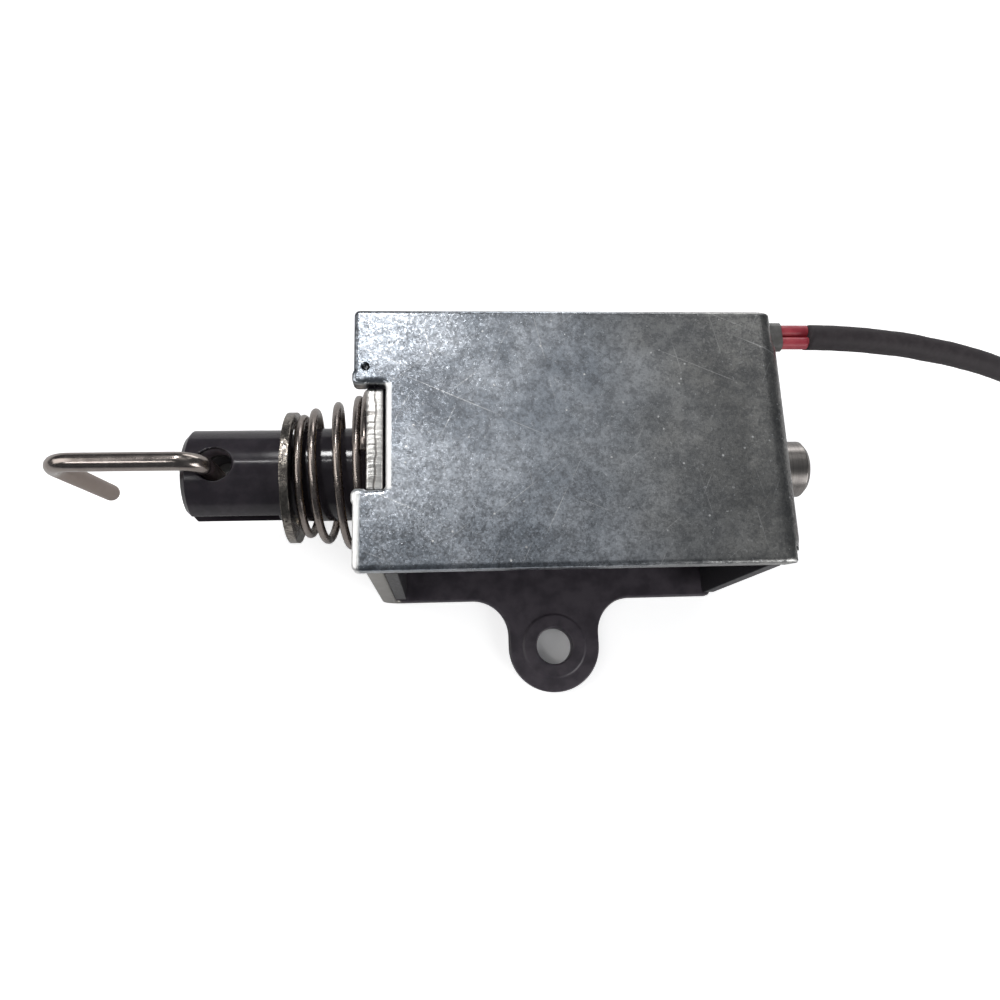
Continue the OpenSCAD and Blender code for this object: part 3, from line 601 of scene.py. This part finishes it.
# A dark stain near the notch, and pale flecks all over.
stain = zinc.plus(zinc.distance((-18.5, 5.5, YOKE_TOP)), zinc.times(ragged, 0.3))
plate_colour = zinc.mix(zinc.range(stain, 2.0 * MM, 7.5 * MM, 0.36, 0.0), plate_colour, (0.13, 0.138, 0.155))
flecks = zinc.range(zinc.noise(2000, 3, 0.7, zinc.stretched((1, 1, 1), 31)), 0.60, 0.72, 0.0, 0.45)
plate_colour = zinc.mix(flecks, plate_colour, (0.82, 0.84, 0.86))
# Bright places: round specks and long scratches in four directions, and painted highlights on the front edge
# on the ear's side of the notch and on the notch's inner edge.
_, speck_distance = zinc.cells(900.0)
specks = zinc.times(zinc.range(speck_distance, 0.10, 0.16, 1.0, 0.0),
                    zinc.range(zinc.noise(650, 2, 0.5), 0.57, 0.63))
scratches = 0.0
for degrees, along, across, limit in ((24, 45, 3600, 0.71), (-38, 60, 4200, 0.72), (78, 50, 3900, 0.73),
                                      (-64, 70, 3900, 0.72)):
    line = zinc.range(zinc.noise(1.0, 2, 0.5, zinc.stretched((along, across, 300), degrees)),
                      limit, limit + 0.05)
    scratches = zinc.larger(line, scratches)
# Painted highlight: these two rolled edges are painted near white.
front_edge_highlight = zinc.times(zinc.range(x, -25.50 * MM, -25.90 * MM), zinc.range(y, -6.2 * MM, -7.2 * MM))
notch_edge_highlight = zinc.times(zinc.range(x, -21.95 * MM, -22.15 * MM),
                        zinc.range(zinc.math("ABSOLUTE", y), 6.8 * MM, 6.2 * MM))
painted_edge_highlight = zinc.larger(front_edge_highlight, notch_edge_highlight)
bright = zinc.larger(zinc.larger(specks, zinc.times(scratches, 0.5)), painted_edge_highlight)
plate_colour = zinc.mix(bright, plate_colour, (0.88, 0.88, 0.87))
# Painted shade: the inside of the punch pit is darkened.
pit_painted_shade = zinc.range(zinc.distance((YOKE_EDGE + PIT_S, PIT_Y, YOKE_TOP - 0.2)),
                      0.36 * MM, 0.56 * MM, 0.80, 0.0)
zinc.set(Base_Color=zinc.mix(pit_painted_shade, plate_colour, (0.05, 0.05, 0.05)), Metallic=1.0,
         Roughness=zinc.plus(zinc.range(cloud, 0.3, 0.7, 0.22, 0.30),
                             zinc.plus(zinc.times(rear, 0.06), zinc.times(painted_edge_highlight, 0.2))))
zinc.facets(grain, 0.085)
zinc.bump(zinc.plus(zinc.noise(420, 3), zinc.times(tone, 0.15)), 0.5, 0.07 * MM)
paint(yoke, zinc)
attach(yoke, "body")
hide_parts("yoke")

# ---- Mounting bracket ----
# Steel strip, satin black on its faces, bent once from the front wall into the base, with a round-ended screw
# ear. Bare steel shows on the front wall's sheared sides and on the ribbed end of the staked tab.
BASE_FRONT, BASE_REAR = -25.1, 24.45
BASE_FOLD = -(BASE_FRONT + BEND_R)
FRONT_FROM = BASE_FOLD + BEND_L
WALL_TOP = 29.95
FRONT_TOP = FRONT_FROM + WALL_TOP - BEND_R
EAR_R, EAR_ROOT, EAR_HOLE_R = 6.7, 5.3, 2.65
EAR_ARC = EAR_R - 0.001
TAB_HALF, TAB_OUT = 6.35, 0.75
TUBE_HOLE_R = 7.01


def bend_bracket(s, y, h):
    """The base runs towards -X at height h, then turns up into the front wall."""
    if s <= BASE_FOLD:
        return -s, y, h
    if s < FRONT_FROM:
        turned = (s - BASE_FOLD) / BEND_L * math.pi / 2
        r = BEND_R - h
        return (BASE_FRONT + BEND_R - r * math.sin(turned), y, BEND_R - r * math.cos(turned))
    return BASE_FRONT + h, y, BEND_R + (s - FRONT_FROM)


# The ear's two corner arcs are a hair short of its half width, so that their ends don't fall together.
bracket_outline = outline([
    (-BASE_REAR, -SHEET_HALF, 0.5), (-EAR_X - EAR_R, -SHEET_HALF, EAR_ROOT),
    (-EAR_X - EAR_R, EAR_Y - EAR_R, EAR_ARC), (-EAR_X + EAR_R, EAR_Y - EAR_R, EAR_ARC),
    (-EAR_X + EAR_R, -SHEET_HALF, EAR_ROOT), (FRONT_TOP, -SHEET_HALF, 0.5), (FRONT_TOP, -TAB_HALF, 0.2),
    (FRONT_TOP + TAB_OUT, -TAB_HALF, 0.4), (FRONT_TOP + TAB_OUT, TAB_HALF, 0.4), (FRONT_TOP, TAB_HALF, 0.2),
    (FRONT_TOP, SHEET_HALF, 0.5), (-BASE_REAR, SHEET_HALF, 0.5), (-BASE_REAR, TAB_HALF, 0.2),
    (-BASE_REAR - TAB_OUT, TAB_HALF, 0.3), (-BASE_REAR - TAB_OUT, -TAB_HALF, 0.3),
    (-BASE_REAR, -TAB_HALF, 0.2)])
# The screw hole's edge: its wall up from the base, the flat top of the raised pad, and down to the ear.
pad_rim = [(0.3, 0), (0.15, 0), (0.04, 0.04), (0, 0.15), (0, 2.0), (0.06, 2.14), (0.2, 2.2), (0.32, 2.2),
           (1.75, 2.2), (1.9, 2.17), (2.0, 2.07), (2.1, 2.0), (2.25, 2.0)]
bracket = sheet_part("bracket_sheet", [
    (bracket_outline, rim(SHEET, 0.35, 0.25, 0.25)),
    (round_hole(-EAR_X, EAR_Y, EAR_HOLE_R), pad_rim),
    (round_hole(FRONT_FROM + AXIS_Z - BEND_R, 0, TUBE_HOLE_R), rim(SHEET, 0.12, 0.12, 0.12, 3))],
    [BASE_FOLD + BEND_L * k / 10 for k in range(11)], bend_bracket)
satin = Shader("bracket_black")
mottle = satin.noise(350, 4, 0.6)
black_faces = satin.mix(satin.range(mottle, 0.35, 0.65), (0.053, 0.045, 0.056), (0.086, 0.074, 0.089))
x, y, z = (satin.axis(letter) for letter in "XYZ")
# Bare steel: the front wall's sheared sides and the end of the staked tab, both with a ragged border.
ragged = satin.times(satin.minus(satin.noise(900, 4, 0.6), 0.5), 0.5 * MM)
side_edge = satin.times(satin.range(satin.plus(satin.math("ABSOLUTE", y), ragged), 15.72 * MM, 15.85 * MM),
                        satin.range(x, -22.2 * MM, -22.6 * MM))
tab_end = satin.range(satin.plus(z, ragged), 30.42 * MM, 30.55 * MM)
bare = satin.larger(side_edge, tab_end)
# The tab's end is ribbed on its outer half, smoother on its inner half, and cracked between them.
rib = satin.noise(1.0, 3, 0.6, satin.stretched((250, 1700, 250)))
smooth_half = satin.range(x, -24.15 * MM, -23.95 * MM)
off_crack = satin.plus(satin.plus(x, 24.0 * MM),
                       satin.times(satin.minus(satin.noise(420, 2), 0.5), 0.8 * MM))
crack = satin.range(satin.math("ABSOLUTE", off_crack), 0.05 * MM, 0.16 * MM, 0.6, 1.0)
rib = satin.times(satin.larger(rib, satin.times(smooth_half, 0.48)), crack)
steel = satin.mix(satin.range(rib, 0.34, 0.56), (0.22, 0.21, 0.20), (0.72, 0.71, 0.685))
steel = satin.mix(tab_end, satin.mix(mottle, (0.255, 0.243, 0.226), (0.39, 0.375, 0.35)), steel)
satin.set(Base_Color=satin.mix(bare, black_faces, steel), Metallic=bare,
          Roughness=satin.plus(satin.range(mottle, 0.3, 0.7, 0.36, 0.5), satin.times(bare, -0.05)))
satin.bump(satin.plus(satin.times(satin.noise(1400, 3), 0.25), satin.times(satin.times(rib, tab_end), 2.0)),
           0.5, 0.08 * MM)
paint(bracket, satin)
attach(bracket, "body")
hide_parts("mounting_bracket")

# ---- Return spring ----
# Dark conical compression spring of round wire, its close first turns against the retaining ring.
# The wire is mottled with the dark scale of its making.
WIRE, SMALL_D, LARGE_D, TURNS, EASE, FIRST_ANGLE = 1.1, 14.6, 22.3, 4.6, 0.66, 234
SPRING_FROM, SPRING_TO, RINGS_PER_TURN = -34.82, -25.68, 44
# The ease slows the wire's way along X at both ends, so that the first and last turns lie close.
u = np.linspace(0, 1, int(TURNS * RINGS_PER_TURN) + 1)
share = u - EASE * np.sin(2 * math.pi * u) / (2 * math.pi)
angle = np.radians(FIRST_ANGLE) + 2 * math.pi * TURNS * u
coil_r = (SMALL_D + (LARGE_D - SMALL_D) * u) / 2
spring_path = MM * np.stack([SPRING_FROM + (SPRING_TO - SPRING_FROM) * share, coil_r * np.cos(angle),
                             AXIS_Z + coil_r * np.sin(angle)], 1)
spring = tube("spring_wire", spring_path, MM * WIRE / 2, 20)
wire = Shader("spring_steel")
streak = wire.noise(700, 4, 0.6)
wire.set(Base_Color=wire.mix(wire.range(streak, 0.3, 0.7), (0.285, 0.247, 0.225), (0.33, 0.29, 0.265)),
         Metallic=1.0, Roughness=wire.range(streak, 0.3, 0.7, 0.24, 0.30))
paint(spring, wire)
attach(spring, "body")
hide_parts("return_spring")
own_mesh(spring)

# ---- Plunger ----
# Steel plunger in a glossy black finish, turned, with its clevis slot milled, its cross hole drilled and a
# groove for the ring. The edges are broken a little.
CORE_R, SKIN_R, CROSS_X = 5.0, 5.8, -44.7
gloss = Shader("plunger_black").round_edges(0.25)
haze = gloss.noise(420, 3, 0.55)
outside = gloss.range(gloss.distance((0, 0, AXIS_Z), (0, 1, 1)), CORE_R * MM, SKIN_R * MM)
finish = gloss.mix(gloss.range(haze, 0.35, 0.65), (0.030, 0.026, 0.032), (0.040, 0.035, 0.042))
# Inside its skin the plunger is dull and painted darker, as painted shade in the slot and the hole; painted
# light makes the cross hole's upper wall pale.
hole_wall_painted_light = gloss.times(gloss.range(gloss.distance((CROSS_X, 0, 0), (1, 1, 0)), 3.5 * MM, 3.3 * MM),
                        gloss.range(gloss.axis("Z"), 17.5 * MM, 17.8 * MM))
inner = gloss.mix(hole_wall_painted_light, (0.018, 0.0155, 0.018), (0.24, 0.21, 0.24))
gloss.set(Base_Color=gloss.mix(outside, inner, finish),
          Roughness=gloss.minus(gloss.range(haze, 0.3, 0.7, 0.57, 0.61), gloss.times(outside, 0.45)),
          Specular_IOR_Level=0.32)
gloss.bump(gloss.noise(1500, 2), 0.06, 0.02 * MM)
paint(cad["plunger"], gloss)

# ---- Retaining ring ----
# Stamped spring-steel ring that snaps into the plunger's groove. It keeps the coarse, speckled finish that
# tumbling leaves.
snap = Shader("ring_steel").round_edges(0.18)
tumbled, _ = snap.cells(3600.0)
snap.set(Base_Color=snap.mix(snap.axis("X", tumbled), (0.14, 0.126, 0.115), (0.37, 0.34, 0.30)),
         Metallic=1.0, Roughness=0.26)
snap.facets(tumbled, 0.11)
paint(cad["retaining_ring"], snap)

# ---- Hook ----
# Polished steel wire, bent three times in one piece: a short foot under the plunger, the post in its cross
# hole, the arm along the top, and the leg with a rounded end.
def bent_wire(corners, bend_r, step):
    """Points along a wire in mm: straight from corner to corner, with an arc of radius bend_r at each
    corner that touches both of its sides."""
    corners = np.asarray(corners, float)
    out = [corners[0]]
    for before, here, after in zip(corners[:-2], corners[1:-1], corners[2:]):
        a, b = before - here, after - here
        a, b = a / np.linalg.norm(a), b / np.linalg.norm(b)
        half = math.acos(float(a @ b)) / 2
        middle = here + (a + b) / np.linalg.norm(a + b) * bend_r / math.sin(half)
        start, end = here + a * bend_r / math.tan(half), here + b * bend_r / math.tan(half)
        u, v = (start - middle) / bend_r, (end - middle) / bend_r
        sweep = math.acos(max(-1.0, min(1.0, float(u @ v))))
        straight = max(2, int(np.linalg.norm(start - out[-1]) / step))
        out += [out[-1] + (start - out[-1]) * k / straight for k in range(1, straight + 1)]
        for t in np.linspace(0, 1, 13)[1:]:
            out.append(middle + bend_r * (u * math.sin((1 - t) * sweep) + v * math.sin(t * sweep))
                       / math.sin(sweep))
    straight = max(2, int(np.linalg.norm(corners[-1] - out[-1]) / step))
    last = out[-1]
    return np.array(out + [last + (corners[-1] - last) * k / straight for k in range(1, straight + 1)])


HOOK_R, HOOK_BEND_R = 1.2, 3.0
POST_X, POST_Y, ARM_Z, FOOT_Z = -46.2, -0.4, 23.6, 6.8
FOOT_END, ARM, LEG, LEAN = -50.8, 18.6, 21.4, math.radians(4)
leg_way = np.array([0, math.sin(LEAN), -math.cos(LEAN)])
leg_top = np.array([POST_X - ARM, POST_Y, ARM_Z])
hook_line = bent_wire([(FOOT_END, POST_Y, FOOT_Z), (POST_X, POST_Y, FOOT_Z), (POST_X, POST_Y, ARM_Z), leg_top,
                       leg_top + leg_way * (LEG - HOOK_R)], HOOK_BEND_R, 0.8)
dome = np.linspace(0, math.pi / 2, 9)[1:-1]
# The foot's cut end has its edge broken over two rings, as (distance along the foot, radius).
foot_trim = np.array([[0.0, HOOK_R - 0.16], [0.06, HOOK_R - 0.05]])
hook_path = np.vstack([[hook_line[0] + (d, 0, 0) for d, _ in foot_trim], hook_line[0] + (0.18, 0, 0),
                       hook_line[1:], [hook_line[-1] + leg_way * HOOK_R * math.sin(a) for a in dome]])
hook_radius = np.concatenate([foot_trim[:, 1], np.full(len(hook_line), HOOK_R), HOOK_R * np.cos(dome)])
hook = tube("hook_wire", MM * hook_path, MM * hook_radius, 32)
polished = Shader("hook_wire_steel")
drawn = polished.noise(900, 4, 0.6)
bright_wire = polished.mix(polished.range(drawn, 0.3, 0.7), (0.30, 0.262, 0.240), (0.36, 0.32, 0.295))
dulled = polished.range(polished.axis("Z"), 21.8 * MM, 19.0 * MM)
polished.set(Base_Color=polished.mix(dulled, bright_wire, (0.33, 0.275, 0.245)), Metallic=1.0,
             Roughness=polished.plus(polished.range(drawn, 0.3, 0.7, 0.19, 0.24),
                                     polished.times(dulled, 0.3)))
paint(hook, polished)
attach(hook, "hook")
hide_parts("hook")

# ---- Push tip and rod ----
# Turned steel head with a chamfered rim, pressed on the end of the push rod. Fine turning rings show on
# both.
turned = Shader("turned_steel").round_edges(0.3)
rings = turned.noise(1.0, 2, 0.5, turned.stretched((5200, 90, 90)))
turned_colour = turned.mix(turned.range(rings, 0.35, 0.65), (0.235, 0.217, 0.208), (0.295, 0.277, 0.26))
turned.set(Base_Color=turned_colour, Metallic=1.0, Roughness=0.32)
turned.bump(rings, 0.05, 0.02 * MM)
for node in ("push_tip", "push_rod"):
    paint(cad[node], turned)

# ---- Fixed pole ----
# Soft iron core of the coil, turned. Its tail is riveted over behind the rear wall, and the rivet head
# keeps dull hammer marks.
iron = Shader("pole_iron").round_edges(0.15)
dull = iron.noise(600, 4, 0.6)
iron.set(Base_Color=iron.mix(iron.range(dull, 0.35, 0.65), (0.30, 0.29, 0.28), (0.46, 0.45, 0.44)),
         Metallic=1.0, Roughness=iron.range(dull, 0.3, 0.7, 0.35, 0.5))
iron.bump(dull, 0.3, 0.06 * MM)
paint(cad["fixed_pole"], iron)

# ---- Guide tube ----
# Drawn brass tube that the plunger slides in, with its front rim turned out over the front wall.
brass = Shader("tube_brass").round_edges(0.12)
tarnish = brass.noise(420, 4, 0.6)
brass.set(Base_Color=brass.mix(brass.range(tarnish, 0.35, 0.65), (0.52, 0.36, 0.17), (0.74, 0.56, 0.32)),
          Metallic=1.0, Roughness=brass.range(tarnish, 0.3, 0.7, 0.22, 0.36))
paint(cad["guide_tube"], brass)

# ---- Bumper washer ----
# Thin nylon washer that the plunger lands on, so that it doesn't stick to the pole.
nylon = Shader("washer_nylon").set(Base_Color=(0.72, 0.71, 0.66), Roughness=0.5)
nylon.bump(nylon.noise(1100, 3), 0.2, 0.03 * MM)
paint(cad["bumper_washer"], nylon)

# ---- Bobbin ----
# Black moulding with square flanges that the coil is wound on. Its faces have a fine spark texture.
moulded = Shader("bobbin_black").round_edges(0.2)
spark = moulded.noise(2400, 3, 0.6)
moulded.set(Base_Color=moulded.mix(moulded.range(spark, 0.35, 0.65), (0.016, 0.015, 0.018),
                                   (0.028, 0.026, 0.030)),
            Roughness=moulded.range(spark, 0.3, 0.7, 0.38, 0.52))
moulded.bump(spark, 0.25, 0.04 * MM)
paint(cad["bobbin"], moulded)

# ---- Coil winding ----
# Enamelled copper wire, wound in even turns round the bobbin. It lies under the tape.
WINDING_PITCH = 0.32
copper = Shader("copper_enamel")
# Painted shade: each turn is painted darker towards its edges, where it meets the next turn in a groove.
place = copper.times(copper.axis("X"), 1 / (WINDING_PITCH * MM))
turns = copper.range(copper.math("PINGPONG", place, 0.5), 0.0, 0.5)
copper.set(Base_Color=copper.mix(turns, (0.22, 0.055, 0.02), (0.62, 0.24, 0.10)), Metallic=0.8, Roughness=0.3)
copper.bump(turns, 0.8, 0.1 * MM)
paint(cad["coil_winding"], copper)

# ---- Coil tape ----
# Black polyester tape wrapped round the winding, with a lap where it ends. It lies a little wrinkled and
# shines where it is drawn tight.
def spun(name, profile, seam, count, relief):
    """A closed ring about the plunger's axis in mm: profile is a loop of (x, radius), turned through a full
    circle from angle seam in count steps. relief(x, turned share) is taken from the radius."""
    by_seam = 0.002
    share = np.concatenate([[0, by_seam], np.linspace(0, 1, count, endpoint=False)[1:], [1 - by_seam]])
    angle = seam + 2 * math.pi * share
    x, r = (np.asarray(profile, float)[:, i][:, None] * np.ones(len(angle)) for i in (0, 1))
    r = r - relief(x, share[None, :])
    points = np.stack([x, r * np.cos(angle), AXIS_Z + r * np.sin(angle)], 2).reshape(-1, 3)
    rows, columns = x.shape
    i, k = np.meshgrid(np.arange(rows), np.arange(columns), indexing="ij")
    j, m = (i + 1) % rows, (k + 1) % columns
    quads = np.stack([i * columns + k, i * columns + m, j * columns + m, j * columns + k], -1)
    return add_mesh(name, MM * points, quads.reshape(-1, 4))


TAPE_FROM, TAPE_TO, TAPE_R, TAPE_T = -21.45, 22.85, 12.46, 0.5
tape_profile = ([(x, TAPE_R) for x in np.linspace(TAPE_FROM + 0.05, TAPE_TO - 0.05, 90)]
                + [(TAPE_TO, TAPE_R - 0.05), (TAPE_TO, TAPE_R - TAPE_T), (TAPE_FROM, TAPE_R - TAPE_T),
                   (TAPE_FROM, TAPE_R - 0.05)])


def tape_relief(x, share):
    """A step at the lap, which falls evenly to nothing round the ring, and two sets of slanting wrinkles."""
    lap = 0.09 * (1 - share)
    slant = 0.5 + 0.5 * np.sin(0.9 * x + 26 * share + 2.0 * np.sin(0.37 * x))
    ripple = 0.5 + 0.5 * np.sin(2.7 * x - 41 * share)
    return np.where(share * (1 - share) == 0, 0.0, lap + 0.04 * slant + 0.015 * ripple)


tape = spun("coil_wrap", tape_profile, math.radians(205), 180, tape_relief)
film = Shader("tape_black")
dust = film.noise(800, 4, 0.6)
film.set(Base_Color=film.mix(film.range(dust, 0.4, 0.65), (0.022, 0.018, 0.024), (0.042, 0.036, 0.044)),
         Roughness=film.range(dust, 0.3, 0.7, 0.22, 0.36))
film.bump(film.noise(500, 3), 0.3, 0.08 * MM)
paint(tape, film)
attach(tape, "body")
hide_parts("coil_tape")

# ---- Spout and terminals ----
# Pale, slightly clear insulating spout pushed over both leads at the frame. The tinned pins and their
# soldered tags are behind it.
spout = Shader("spout_pale").round_edges(0.15)
cast = spout.noise(700, 3, 0.6)
spout.set(Base_Color=spout.mix(spout.range(cast, 0.3, 0.7), (0.13, 0.125, 0.12), (0.21, 0.205, 0.20)),
          Roughness=0.35, Transmission_Weight=0.25, IOR=1.45)
spout.bump(cast, 0.3, 0.06 * MM)
paint(cad["lead_spout"], spout)
tinned = Shader("tinned_metal")
solder = tinned.noise(1300, 3, 0.6)
tinned.set(Base_Color=tinned.mix(tinned.range(solder, 0.3, 0.7), (0.45, 0.45, 0.44), (0.68, 0.68, 0.67)),
           Metallic=1.0, Roughness=0.3)
tinned.bump(solder, 0.3, 0.04 * MM)
for node in ("terminal_pins", "terminal_tags"):
    paint(cad[node], tinned)

# ---- Connector ----
# White nylon housing with two sockets, moulded, and brass contacts crimped to the leads inside it.
housing = Shader("housing_nylon").round_edges(0.25)
flow = housing.noise(260, 3, 0.5)
housing.set(Base_Color=housing.mix(housing.range(flow, 0.3, 0.7), (0.70, 0.69, 0.64), (0.78, 0.77, 0.73)),
            Roughness=0.42, Subsurface_Weight=0.1)
housing.bump(housing.noise(1800, 3), 0.15, 0.03 * MM)
paint(cad["connector_housing"], housing)
contact = Shader("contact_brass")
stamp = contact.noise(900, 3, 0.6)
contact.set(Base_Color=contact.mix(contact.range(stamp, 0.3, 0.7), (0.60, 0.42, 0.18), (0.76, 0.58, 0.30)),
            Metallic=1.0, Roughness=0.28)
paint(cad["connector_contacts"], contact)
